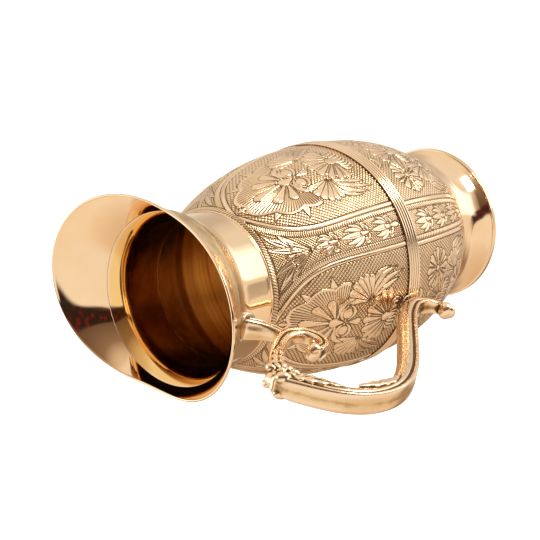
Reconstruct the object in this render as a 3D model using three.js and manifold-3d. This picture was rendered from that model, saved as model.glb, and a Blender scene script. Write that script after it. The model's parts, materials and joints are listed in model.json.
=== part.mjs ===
// Brass pouring jug: an egg-shaped engraved body made of two spun shells under a ribbed waist band,
// a polished flared foot, a plain neck, an oval pouring mouth and one cast scroll handle.
// Millimetres. +Z runs up the jug's axis, +X points to the handle and -X to the pouring lip.
// The origin is the centre of the foot, on the plane the jug stands on.

import * as THREE from 'three';
import { mergeVertices } from 'three/addons/utils/BufferGeometryUtils.js';
import Module from 'manifold-3d';

const wasm = await Module();
wasm.setup();

// ---- driving sizes ---------------------------------------------------------------------------

const WALL = 1.2; // spun sheet of the shells, neck and foot
const GAP = 0.3; // left between pieces that are soldered together
const TURNS = 48; // flats round the axis

const BODY_RADIUS = 65;
const WIDEST_Z = 115;
const COLLAR_Z = 208.4; // top edge of the upper shell
const FOOT_TOP_Z = 27.6; // where the lower shell sits on the foot
const TOP_NARROWING = 0.357; // part of the radius lost between the waist and the collar
const FOOT_NARROWING = 0.348;
const TOP_ROUNDNESS = 2.25; // power of the shoulder curve
const FOOT_ROUNDNESS = 2.6;
const BOWL_FLOOR_Z = 19; // underside of the body, inside the foot
const BOWL_FLAT_RADIUS = 26;
const BOWL_TURN_RADIUS = 36.2; // where the floor turns up towards the foot's seat
const BOWL_TURN_Z = 21;

const BAND_LOW_Z = 106.8;
const BAND_HIGH_Z = 117.0;
const BAND_RIDGES = 5;
const BAND_STAND = 1.5; // how far the ridges stand off the shells
const BAND_GROOVE = 0.5;

const NECK_RADIUS = 41.8;
const NECK_STRAIGHT_TOP_Z = 225;
const LIP_RADIUS = 48.4;
const LIP_Z = 240; // crease where the mouth is joined to the neck
const LIP_BEND = 0.6; // how far up the lip starts to lean out, as a part of its height
const LIP_FACE = 1.5; // width of the flat faces that meet at the crease

const MOUTH_WALL = 1.1;
const RIM_RADIUS = { lip: 74.5, side: 49.4, back: 62.4 };
const RIM_HEIGHT = { lip: 256.3, side: 248.6, back: 260.4 };
const FLARE_RUN = 0.35; // how far out the flare's curve bends, as parts of its run and rise
const FLARE_RISE = 0.65;

const FOOT_RADIUS = 47.1;
const FOOT_EDGE_HEIGHT = 3.5;
const FOOT_EDGE_ROUND = 0.5;
const FOOT_STEP = 1.2; // the flare starts this far in from the edge
const FOOT_BEND_RADIUS = 43.05; // where the flare turns from steep to spreading
const FOOT_BEND_Z = 9;
const FOOT_WAIST_RADIUS = 40.6;
const FOOT_WAIST_Z = 21;
const FOOT_SEAT_GAP = 0.45; // left under the slope of the lower shell
const FOOT_SINK = 1; // the foot's top is this much narrower than the shell on it
const PLATE_THICKNESS = 1.0;
const PLATE_RECESS = 0.5; // the plate's face sits this far above the plane the foot stands on

const HANDLE_RING = 12; // flats round the handle's bar
const BAR_STEPS = 2.3; // straight lengths between two points of a bar
const NECK_CLEARANCE = 0.42; // the gap at the arm, wider because the neck's flats slant there
const BRAZE_GAP = 0.25;
const BRAZE_PROUD = 0.5; // a braze's middle stands this far off the wall

const WIDEST_TO_COLLAR = COLLAR_Z - WIDEST_Z;
const WIDEST_TO_FOOT = WIDEST_Z - FOOT_TOP_Z;
const BODY_SEAM_Z = (BAND_LOW_Z + BAND_HIGH_Z) / 2;

// ---- closed solids ---------------------------------------------------------------------------

// Signed volume of a closed mesh: negative when its faces point inwards.
function signedVolume(geometry) {
  const position = geometry.getAttribute('position');
  const index = geometry.getIndex();
  const [a, b, c] = [new THREE.Vector3(), new THREE.Vector3(), new THREE.Vector3()];
  let volume = 0;
  for (let i = 0; i < index.count; i += 3) {
    a.fromBufferAttribute(position, index.getX(i));
    b.fromBufferAttribute(position, index.getX(i + 1));
    c.fromBufferAttribute(position, index.getX(i + 2));
    volume += a.dot(b.cross(c)) / 6;
  }
  return volume;
}

// Welds the seams of a surface and turns its faces outwards.
function closedSolid(surface) {
  surface.deleteAttribute('normal');
  surface.deleteAttribute('uv');
  const solid = mergeVertices(surface, 1e-4);
  if (signedVolume(solid) < 0) {
    const index = solid.getIndex();
    for (let i = 0; i < index.count; i += 3) {
      const first = index.getX(i);
      index.setX(i, index.getX(i + 1));
      index.setX(i + 1, first);
    }
  }
  return solid;
}

function toManifold(solid) {
  const vertProperties = new Float32Array(solid.getAttribute('position').array);
  const triVerts = new Uint32Array(solid.getIndex().array);
  return new wasm.Manifold(new wasm.Mesh({ numProp: 3, vertProperties, triVerts }));
}

function fromManifold(manifold) {
  const mesh = manifold.getMesh();
  const geometry = new THREE.BufferGeometry();
  geometry.setAttribute('position', new THREE.BufferAttribute(new Float32Array(mesh.vertProperties), 3));
  geometry.setIndex([...mesh.triVerts]);
  return mergeVertices(geometry, 1e-4);
}

// Turns a closed outline of [radius, height] points about the jug's axis.
function turned(outline) {
  const points = outline.map(([radius, height]) => new THREE.Vector2(radius, height));
  points.push(points[0].clone());
  const surface = new THREE.LatheGeometry(points, TURNS);
  surface.rotateX(Math.PI / 2);
  return closedSolid(surface);
}

// Turns an outline that starts and ends on the axis.
function turnedSolid(outline) {
  const points = outline.map(([radius, height]) => new THREE.Vector2(radius, height));
  const surface = new THREE.LatheGeometry(points, TURNS);
  surface.rotateX(Math.PI / 2);
  return closedSolid(surface);
}

// Evenly spaced values from low to high, both included.
function steps(low, high, count) {
  return Array.from({ length: count + 1 }, (_, i) => low + ((high - low) * i) / count);
}

function material(color, roughness) {
  return new THREE.MeshStandardMaterial({ color, roughness, metalness: 1 });
}

// ---- body ------------------------------------------------------------------------------------

// Outside radius of the two shells at a height.
function bodyRadius(z) {
  if (z > WIDEST_Z) {
    const rise = (z - WIDEST_Z) / WIDEST_TO_COLLAR;
    return BODY_RADIUS * (1 - TOP_NARROWING * rise ** TOP_ROUNDNESS);
  }
  const drop = (WIDEST_Z - z) / WIDEST_TO_FOOT;
  return BODY_RADIUS * (1 - FOOT_NARROWING * drop ** FOOT_ROUNDNESS);
}

// The same outline moved inwards by the sheet, square to the surface.
function insideOf(outline, thickness) {
  return outline.map((point, i) => {
    const before = outline[Math.max(i - 1, 0)];
    const after = outline[Math.min(i + 1, outline.length - 1)];
    const run = after[0] - before[0];
    const rise = after[1] - before[1];
    const length = Math.hypot(run, rise);
    return [point[0] - (thickness * rise) / length, point[1] + (thickness * run) / length];
  });
}

function upperShell() {
  const outside = steps(BODY_SEAM_Z + GAP / 2, COLLAR_Z, 9).map((z) => [bodyRadius(z), z]);
  const inside = insideOf(outside, WALL);
  inside[0][1] = outside[0][1];
  inside[inside.length - 1][1] = COLLAR_Z;
  return turned([...outside, ...inside.reverse()]);
}

// A spun bowl: its rounded floor hangs down inside the foot.
function lowerShell() {
  const side = steps(FOOT_TOP_Z, BODY_SEAM_Z - GAP / 2, 8).map((z) => [bodyRadius(z), z]);
  const floor = [[BOWL_FLAT_RADIUS, BOWL_FLOOR_Z], [BOWL_TURN_RADIUS, BOWL_TURN_Z]];
  const outside = [...floor, ...side];
  const inside = insideOf(outside, WALL);
  inside[0] = [BOWL_FLAT_RADIUS, BOWL_FLOOR_Z + WALL];
  inside[inside.length - 1][1] = side[side.length - 1][1];
  return turnedSolid([[0, BOWL_FLOOR_Z], ...outside, ...inside.reverse(), [0, BOWL_FLOOR_Z + WALL]]);
}

// A ring of rounded ridges that hides the seam between the two shells.
function waistBand() {
  const inner = BODY_RADIUS + GAP;
  const ridge = (BAND_HIGH_Z - BAND_LOW_Z) / BAND_RIDGES;
  const outline = [[inner, BAND_LOW_Z]];
  for (let i = 0; i < BAND_RIDGES; i += 1) {
    const foot = BAND_LOW_Z + i * ridge;
    outline.push([BODY_RADIUS + BAND_STAND - BAND_GROOVE, foot]);
    outline.push([BODY_RADIUS + BAND_STAND, foot + 0.3 * ridge]);
    outline.push([BODY_RADIUS + BAND_STAND, foot + 0.7 * ridge]);
  }
  outline.push([BODY_RADIUS + BAND_STAND - BAND_GROOVE, BAND_HIGH_Z]);
  outline.push([inner, BAND_HIGH_Z]);
  return turned(outline);
}

// ---- foot ------------------------------------------------------------------------------------

// Height of the foot's top face, just under the slope of the lower shell's shoulder.
function footSeat(radius) {
  const slope = (FOOT_TOP_Z - BOWL_TURN_Z) / (bodyRadius(FOOT_TOP_Z) - BOWL_TURN_RADIUS);
  return BOWL_TURN_Z + slope * (radius - BOWL_TURN_RADIUS) - FOOT_SEAT_GAP;
}

// A flared ring with a squared edge to stand on, soldered under the lower shell.
function footRing() {
  const topRadius = bodyRadius(FOOT_TOP_Z) - FOOT_SINK;
  const stepRadius = FOOT_RADIUS - FOOT_STEP;
  const flare = new THREE.SplineCurve([
    new THREE.Vector2(stepRadius, FOOT_EDGE_HEIGHT),
    new THREE.Vector2(FOOT_BEND_RADIUS, FOOT_BEND_Z),
    new THREE.Vector2(FOOT_WAIST_RADIUS, FOOT_WAIST_Z),
    new THREE.Vector2(topRadius, footSeat(topRadius)),
  ]);
  const outside = flare.getPoints(7).map((point) => [point.x, point.y]);
  const inside = insideOf(outside, WALL).filter(([radius, z]) => z < footSeat(radius) - GAP);
  inside[0] = [stepRadius - WALL, FOOT_EDGE_HEIGHT];
  inside.push([topRadius - WALL, footSeat(topRadius - WALL)]);
  const edge = [
    [stepRadius - WALL, 0],
    [FOOT_RADIUS - FOOT_EDGE_ROUND, 0],
    [FOOT_RADIUS, FOOT_EDGE_ROUND],
    [FOOT_RADIUS, FOOT_EDGE_HEIGHT - FOOT_EDGE_ROUND],
    [FOOT_RADIUS - FOOT_EDGE_ROUND, FOOT_EDGE_HEIGHT],
  ];
  return turned([...edge, ...outside, ...inside.reverse()]);
}

// A flat disc that closes the foot from below.
function basePlate() {
  const radius = FOOT_RADIUS - FOOT_STEP - WALL - GAP;
  const top = PLATE_RECESS + PLATE_THICKNESS;
  return turnedSolid([[0, PLATE_RECESS], [radius, PLATE_RECESS], [radius, top], [0, top]]);
}

// ---- neck and mouth --------------------------------------------------------------------------

// Outside of the neck: straight from the collar, then widening into a rounded lip.
function neckOutline() {
  const lipCurve = new THREE.QuadraticBezierCurve(
    new THREE.Vector2(NECK_RADIUS, NECK_STRAIGHT_TOP_Z),
    new THREE.Vector2(NECK_RADIUS, NECK_STRAIGHT_TOP_Z + LIP_BEND * (LIP_Z - NECK_STRAIGHT_TOP_Z)),
    new THREE.Vector2(LIP_RADIUS, LIP_Z - GAP),
  );
  const lip = lipCurve.getPoints(4).map((point) => [point.x, point.y]);
  return [[NECK_RADIUS, COLLAR_Z + GAP], ...lip];
}

function neck() {
  const outside = neckOutline();
  const inside = insideOf(outside, WALL);
  inside[inside.length - 1] = [LIP_RADIUS - LIP_FACE, LIP_Z - GAP];
  return turned([...outside, ...inside.reverse()]);
}

// A size that changes smoothly round the oval mouth, from the pouring lip to the side and the back.
function roundTheMouth(size, angleFromLip) {
  const mean = (size.lip + size.back) / 4 + size.side / 2;
  const once = (size.lip - size.back) / 2;
  const twice = (size.lip + size.back) / 4 - size.side / 2;
  return mean + once * Math.cos(angleFromLip) + twice * Math.cos(2 * angleFromLip);
}

// The flare's curve in the plane through the axis at one direction.
function flareCurve(angleFromLip) {
  const rimRadius = roundTheMouth(RIM_RADIUS, angleFromLip);
  const rimHeight = roundTheMouth(RIM_HEIGHT, angleFromLip);
  const run = rimRadius - LIP_RADIUS;
  const rise = rimHeight - LIP_Z;
  return new THREE.QuadraticBezierCurve(
    new THREE.Vector2(LIP_RADIUS, LIP_Z),
    new THREE.Vector2(LIP_RADIUS + FLARE_RUN * run, LIP_Z + FLARE_RISE * rise),
    new THREE.Vector2(rimRadius, rimHeight),
  );
}

// A flared funnel: round where it meets the neck, oval and drawn out to a pouring lip at its rim.
function mouth() {
  const rows = 6;
  const outlineLength = 2 * (rows + 1);
  const surface = new THREE.LatheGeometry(
    Array.from({ length: outlineLength + 1 }, (_, j) => new THREE.Vector2(1, j)),
    TURNS,
  );
  const position = surface.getAttribute('position');
  for (let i = 0; i <= TURNS; i += 1) {
    const angle = ((i % TURNS) / TURNS) * 2 * Math.PI;
    const outside = flareCurve(angle - Math.PI).getPoints(rows).map((point) => [point.x, point.y]);
    const inside = insideOf(outside, MOUTH_WALL);
    inside[0] = [LIP_RADIUS - LIP_FACE, LIP_Z];
    const outline = [...outside, ...inside.reverse(), outside[0]];
    outline.forEach(([radius, height], j) => {
      const x = radius * Math.cos(angle);
      const y = radius * Math.sin(angle);
      position.setXYZ(i * outline.length + j, x, y, height);
    });
  }
  return closedSolid(surface);
}

// ---- handle ----------------------------------------------------------------------------------

// A bar that follows points in the plane of the handle. Each point is
// [distance from the axis, height, half width across the plane, half thickness in the plane].
function bar(points, divisions, grow = 0) {
  const path = new THREE.CatmullRomCurve3(
    points.map(([x, z]) => new THREE.Vector3(x, 0, z)), false, 'centripetal',
  );
  const size = new THREE.CatmullRomCurve3(
    points.map(([, , width, thickness]) => new THREE.Vector3(width, thickness, 0)), false, 'centripetal',
  );
  const vertices = [];
  const triangles = [];
  for (let i = 0; i <= divisions; i += 1) {
    const centre = path.getPoint(i / divisions);
    const along = path.getTangent(i / divisions);
    const half = size.getPoint(i / divisions);
    for (let j = 0; j < HANDLE_RING; j += 1) {
      const angle = (2 * Math.PI * j) / HANDLE_RING;
      const across = (half.x + grow) * Math.cos(angle);
      const outward = (half.y + grow) * Math.sin(angle);
      vertices.push(centre.x + outward * along.z, across, centre.z - outward * along.x);
    }
  }
  for (let i = 0; i < divisions; i += 1) {
    for (let j = 0; j < HANDLE_RING; j += 1) {
      const next = (j + 1) % HANDLE_RING;
      const [a, b] = [i * HANDLE_RING + j, i * HANDLE_RING + next];
      const [c, d] = [a + HANDLE_RING, b + HANDLE_RING];
      triangles.push(a, b, d, a, d, c);
    }
  }
  const last = divisions * HANDLE_RING;
  for (let j = 1; j < HANDLE_RING - 1; j += 1) {
    triangles.push(0, j + 1, j, last, last + j, last + j + 1);
  }
  const geometry = new THREE.BufferGeometry();
  geometry.setAttribute('position', new THREE.Float32BufferAttribute(vertices, 3));
  geometry.setIndex(triangles);
  return toManifold(closedSolid(geometry));
}

// A rounded lump of the casting, at [distance from the axis, height].
function lump([x, z], [halfX, halfY, halfZ], tilt = 0) {
  const ball = new THREE.SphereGeometry(1, 12, 8);
  ball.scale(halfX, halfY, halfZ);
  ball.rotateY(tilt);
  ball.translate(x, 0, z);
  return toManifold(closedSolid(ball));
}

const GRIP_POINTS = [
  [83.5, 102.6, 3.6, 3.2],
  [77.5, 104.4, 3.7, 3.2],
  [72.6, 110.2, 4.5, 3.9],
  [71.4, 118.5, 5.1, 4.9],
  [77.0, 131.0, 5.3, 5.3],
  [85.0, 142.6, 5.4, 5.5],
  [96.2, 157.0, 5.6, 5.6],
  [107.2, 171.3, 5.7, 5.7],
  [117.8, 186.1, 5.9, 5.7],
  [125.6, 201.0, 6.0, 5.7],
  [128.8, 216.0, 6.1, 5.7],
  [126.6, 230.5, 6.2, 5.7],
  [119.8, 241.4, 6.2, 5.7],
  [110.2, 249.0, 6.1, 5.7],
  [98.5, 255.6, 5.9, 5.5],
  [91.0, 259.2, 5.0, 4.5],
];

const SCROLL_POINTS = [
  [93.0, 259.0, 5.0, 4.0],
  [83.6, 251.6, 5.2, 4.5],
  [73.6, 239.4, 4.7, 4.0],
  [65.4, 227.0, 4.4, 3.6],
  [61.6, 216.0, 4.2, 3.5],
  [64.2, 207.4, 4.1, 3.3],
  [71.6, 204.6, 4.1, 3.2],
  [78.2, 208.0, 4.2, 3.1],
  [80.6, 214.6, 4.4, 3.1],
];

const ARM_POINTS = [
  [NECK_RADIUS + 0.7, 228.6, 6.4, 4.2],
  [48.6, 222.8, 5.4, 3.7],
  [55.6, 219.0, 4.4, 3.2],
  [62.4, 217.8, 3.8, 2.8],
];

// Lumps of the casting: [distance from the axis, height], half sizes and tilt in radians.
const KNUCKLE = [[91.2, 259.4], [7.6, 7.4, 6.2], 0.5];
const HOOF = [[84.4, 103.8], [4.6, 5.3, 4.6]];
const CURL_END = [[79.4, 216.4], [4.1, 5.5, 4.4]];

// Every bar and lump of the casting as one solid, optionally a little fatter all over.
function handleSolid(grow = 0) {
  const bars = [GRIP_POINTS, SCROLL_POINTS, ARM_POINTS];
  const pieces = [
    ...bars.map((points) => bar(points, Math.round(BAR_STEPS * (points.length - 1)), grow)),
    ...[KNUCKLE, HOOF, CURL_END].map((size) => lump(...size)),
  ];
  return pieces.reduce((whole, piece) => whole.add(piece));
}

// The neck, a gap fatter, cuts the arm's end to a snug shape.
function neckClearance() {
  const wall = neckOutline().map(([radius, height]) => [radius + NECK_CLEARANCE, height]);
  return toManifold(turnedSolid([[0, COLLAR_Z], ...wall, [0, LIP_Z]]));
}

// The band, a gap fatter, behind the handle's lower joint.
function waistClearance() {
  const radius = BODY_RADIUS + BAND_STAND + GAP;
  const wall = new THREE.CylinderGeometry(radius, radius, 50, TURNS);
  wall.rotateX(Math.PI / 2);
  wall.translate(0, 0, BODY_SEAM_Z);
  return toManifold(closedSolid(wall));
}

function handle() {
  const casting = handleSolid().subtract(neckClearance()).subtract(waistClearance());
  return fromManifold(casting);
}

// A flat lens of braze squeezed out round a joint, cut clear of the pieces it holds.
function braze(centre, half, clearance) {
  const blob = lump(centre, half);
  return fromManifold(blob.subtract(clearance()).subtract(handleSolid(BRAZE_GAP)));
}

function upperBraze() {
  return braze([NECK_RADIUS + BRAZE_PROUD, 228.4], [1.8, 8.0, 5.6], neckClearance);
}

function lowerBraze() {
  return braze([BODY_RADIUS + BAND_STAND + BRAZE_PROUD, 117.4], [1.8, 7.2, 6.6], waistClearance);
}

// ---- assembly --------------------------------------------------------------------------------

const polishedBrass = () => material(0xe3b56c, 0.14);
const engravedBrass = () => material(0xc99a55, 0.38);
const castBrass = () => material(0xcc9b4c, 0.3);
const brazeAlloy = () => material(0xa9a59a, 0.45);

const pieces = [
  ['mouth', mouth(), polishedBrass()],
  ['neck', neck(), polishedBrass()],
  ['upper_shell', upperShell(), engravedBrass()],
  ['waist_band', waistBand(), engravedBrass()],
  ['lower_shell', lowerShell(), engravedBrass()],
  ['foot_ring', footRing(), polishedBrass()],
  ['base_plate', basePlate(), polishedBrass()],
  ['handle', handle(), castBrass()],
  ['handle_braze_upper', upperBraze(), brazeAlloy()],
  ['handle_braze_lower', lowerBraze(), brazeAlloy()],
];

const jug = new THREE.Group();
jug.name = 'brass_pouring_jug';
for (const [name, geometry, finish] of pieces) {
  const mesh = new THREE.Mesh(geometry, finish);
  mesh.name = name;
  jug.add(mesh);
}

export default jug;
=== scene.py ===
import json
import math

import bpy
import numpy as np
from mathutils import Matrix, Vector

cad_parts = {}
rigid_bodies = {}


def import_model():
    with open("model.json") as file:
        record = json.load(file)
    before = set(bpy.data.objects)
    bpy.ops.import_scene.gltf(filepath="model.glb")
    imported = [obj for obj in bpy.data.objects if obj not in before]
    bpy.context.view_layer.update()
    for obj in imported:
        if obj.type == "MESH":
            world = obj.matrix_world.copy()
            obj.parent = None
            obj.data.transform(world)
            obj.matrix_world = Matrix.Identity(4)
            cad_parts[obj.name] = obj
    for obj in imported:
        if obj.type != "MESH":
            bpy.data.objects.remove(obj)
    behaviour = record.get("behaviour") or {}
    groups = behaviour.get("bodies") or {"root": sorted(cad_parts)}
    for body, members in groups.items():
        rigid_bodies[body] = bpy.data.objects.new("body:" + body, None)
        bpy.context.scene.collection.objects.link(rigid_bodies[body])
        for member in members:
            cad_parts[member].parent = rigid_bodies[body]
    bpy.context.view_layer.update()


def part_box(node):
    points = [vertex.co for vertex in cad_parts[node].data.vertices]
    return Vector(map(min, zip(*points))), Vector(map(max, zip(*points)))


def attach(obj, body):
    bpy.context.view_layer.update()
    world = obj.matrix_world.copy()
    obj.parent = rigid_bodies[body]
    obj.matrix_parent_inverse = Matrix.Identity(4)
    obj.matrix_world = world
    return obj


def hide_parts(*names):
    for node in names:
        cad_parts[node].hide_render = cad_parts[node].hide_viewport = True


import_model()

# ---- sizes in metres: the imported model's boxes, and what follows from them or is set here ------

MM = 0.001
UPPER_LOW, UPPER_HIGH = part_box("upper_shell")
LOWER_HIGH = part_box("lower_shell")[1]
BAND_LOW, BAND_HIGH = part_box("waist_band")
NECK_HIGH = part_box("neck")[1]
MOUTH_LOW, MOUTH_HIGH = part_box("mouth")
FOOT_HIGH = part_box("foot_ring")[1]
PLATE_LOW, PLATE_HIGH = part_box("base_plate")

WALL = 1.2 * MM
BODY_RADIUS = UPPER_HIGH[0]
COLLAR_Z = UPPER_HIGH[2]
SEAM_Z = (UPPER_LOW[2] + LOWER_HIGH[2]) / 2
WIDEST_Z = SEAM_Z + 3.1 * MM
BAND_CREST = BAND_HIGH[0] - 0.3 * MM
FOOT_TOP_Z = 27.6 * MM
NECK_RADIUS = 41.8 * MM
NECK_STRAIGHT_Z = 225 * MM  # the tube widens above this
LIP_RADIUS = NECK_HIGH[0]
LIP_Z = MOUTH_LOW[2]
MOUTH_SIDE_RADIUS = 49.4 * MM  # half the width of the oval rim
RIM_LIP_Z = 256.3 * MM  # the rim's height at the pouring lip, at its sides and by the handle
RIM_SIDE_Z = 248.6 * MM
RIM_BACK_Z = 260.4 * MM
FOOT_RADIUS = FOOT_HIGH[0]

TOP_NARROWING = 0.357  # the same shoulder and bowl curves as the frame
FOOT_NARROWING = 0.348
TOP_ROUNDNESS = 2.25
FOOT_ROUNDNESS = 2.6

STRIP_AZIMUTH = math.radians(40.5)  # centre of the first ornamental strip, from the handle
PANELS = 4
PANEL_STEP = 2 * math.pi / PANELS
PANEL_HALF = math.radians(34.4)  # from a panel's centre to the rib beside it
LOWER_TURN = math.radians(-2)  # the lower half is soldered on slightly turned
LOWER_DEPTH = 0.8  # the lower half is worked shallower than its drawing
SHEEN_SIDE_AZIMUTH = math.radians(125)  # the side whose relief is kept shallower and whose cuts are painted paler, a painted sheen
SHEEN_SIDE_FLATTENING = 0.15  # the share of the relief that is left out there
DRAWING_RADIUS = 62  # the motifs are drawn in millimetres on a cylinder of this radius
ARCH_SPRING_Z = 150 * MM
ARCH_TOP_Z = 205.5 * MM

COLUMNS = 1280  # points round the engraved shells
ROW_STEP = 0.3 * MM
SMOOTH_COLUMNS = 256  # points round the plain pieces


# ---- meshes -----------------------------------------------------------------------------------

def new_object(name, data):
    thing = bpy.data.objects.new(name, data)
    bpy.context.scene.collection.objects.link(thing)
    return thing


def mesh_object(name, points, quads, triangles=()):
    """A smooth-shaded object from points and faces, its faces turned outwards."""
    quads = np.asarray(quads, dtype=np.int32).reshape(-1, 4)
    triangles = np.asarray(triangles, dtype=np.int32).reshape(-1, 3)
    if signed_volume(points, quads, triangles) < 0:
        quads = quads[:, ::-1]
        triangles = triangles[:, ::-1]
    corners = np.concatenate([quads.ravel(), triangles.ravel()])
    starts = np.concatenate([
        np.arange(len(quads)) * 4,
        len(quads) * 4 + np.arange(len(triangles)) * 3,
    ])
    mesh = bpy.data.meshes.new(name)
    mesh.vertices.add(len(points))
    mesh.vertices.foreach_set("co", np.asarray(points, dtype=np.float32).ravel())
    mesh.loops.add(len(corners))
    mesh.loops.foreach_set("vertex_index", corners.astype(np.int32))
    mesh.polygons.add(len(starts))
    mesh.polygons.foreach_set("loop_start", starts.astype(np.int32))
    mesh.update(calc_edges=True)
    mesh.polygons.foreach_set("use_smooth", np.ones(len(starts), dtype=bool))
    mesh.validate()
    return new_object(name, mesh)


def store(piece, name, values):
    """Keeps one number for each point of a piece, for its material to read."""
    layer = piece.data.attributes.new(name, "FLOAT", "POINT")
    layer.data.foreach_set("value", values.astype(np.float32).ravel())


def store_inside(piece, rows, columns, first):
    """Marks the rows of points from the first inner one on, as the plain inside of a sheet."""
    inside = np.zeros((rows, columns))
    inside[first:] = 1
    store(piece, "inner", inside)


def signed_volume(points, quads, triangles):
    points = np.asarray(points, dtype=float)
    faces = np.concatenate([quads[:, [0, 1, 2]], quads[:, [0, 2, 3]], triangles])
    a, b, c = points[faces[:, 0]], points[faces[:, 1]], points[faces[:, 2]]
    return float(np.einsum("ij,ij->i", a, np.cross(b, c)).sum() / 6)


def turned(name, rows, closed=False):
    """A surface from a grid of points [row, column, xyz] in which every row is a ring.

    A closed grid joins its last row to its first. An open one is capped across both of its end rings.
    """
    count, columns = rows.shape[:2]
    index = np.arange(count * columns).reshape(count, columns)
    below = index if closed else index[:-1]
    above = np.roll(index, -1, axis=0) if closed else index[1:]
    quads = np.stack([
        below, np.roll(below, -1, axis=1), np.roll(above, -1, axis=1), above,
    ], axis=-1).reshape(-1, 4)
    points = rows.reshape(-1, 3)
    if closed:
        return mesh_object(name, points, quads)
    first, last = len(points), len(points) + 1
    points = np.concatenate([points, [rows[0].mean(axis=0), rows[-1].mean(axis=0)]])
    start, end = index[0], index[-1]
    caps = np.concatenate([
        np.stack([np.full(columns, first), np.roll(start, -1), start], axis=-1),
        np.stack([np.full(columns, last), end, np.roll(end, -1)], axis=-1),
    ])
    return mesh_object(name, points, quads, caps)


def around(radius, height, columns):
    """Rows of points round the axis from arrays of radius and height, one value a row or a point."""
    angle = np.arange(columns) * 2 * np.pi / columns
    radius = radius.reshape(len(radius), -1) + 0 * angle
    height = height.reshape(len(height), -1) + 0 * angle
    return np.stack([radius * np.cos(angle), radius * np.sin(angle), height], axis=-1)


def bezier(start, bend, end, count):
    """Points of a quadratic curve through the plane of radius and height."""
    t = np.linspace(0, 1, count)[:, None]
    start, bend, end = np.asarray(start), np.asarray(bend), np.asarray(end)
    return (1 - t) ** 2 * start + 2 * t * (1 - t) * bend + t ** 2 * end


def smooth_curve(points, count):
    """Catmull-Rom curve through points of any dimension, evenly spaced by its own parameter."""
    points = np.asarray(points, dtype=float)
    padded = np.concatenate([[2 * points[0] - points[1]], points, [2 * points[-1] - points[-2]]])
    t = np.linspace(0, len(points) - 1, count)
    k = np.minimum(t.astype(int), len(points) - 2)
    u = (t - k)[:, None]
    a, b, c, d = padded[k], padded[k + 1], padded[k + 2], padded[k + 3]
    return 0.5 * (2 * b + (c - a) * u + (2 * a - 5 * b + 4 * c - d) * u ** 2
                  + (3 * b - a - 3 * c + d) * u ** 3)


def smoothstep(low, high, value):
    t = np.clip((value - low) / (high - low), 0, 1)
    return t * t * (3 - 2 * t)


# ---- body outline -----------------------------------------------------------------------------

def body_radius(z):
    rise = np.clip((z - WIDEST_Z) / (COLLAR_Z - WIDEST_Z), 0, 1)
    drop = np.clip((WIDEST_Z - z) / (WIDEST_Z - FOOT_TOP_Z), 0, 1)
    narrowing = TOP_NARROWING * rise ** TOP_ROUNDNESS + FOOT_NARROWING * drop ** FOOT_ROUNDNESS
    return BODY_RADIUS * (1 - narrowing)


def rows_between(low, high, step):
    return np.linspace(low, high, int(round((high - low) / step)) + 1)


# ---- engraving: heights in millimetres painted over a grid of millimetre coordinates -----------

def line_groove(distance, width):
    return np.exp(-(distance / width) ** 2)


def ruled(value, period, width):
    """1 on evenly spaced lines, 0 between them."""
    distance = np.abs((value / period + 0.5) % 1 - 0.5) * period
    return line_groove(distance, width)


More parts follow.
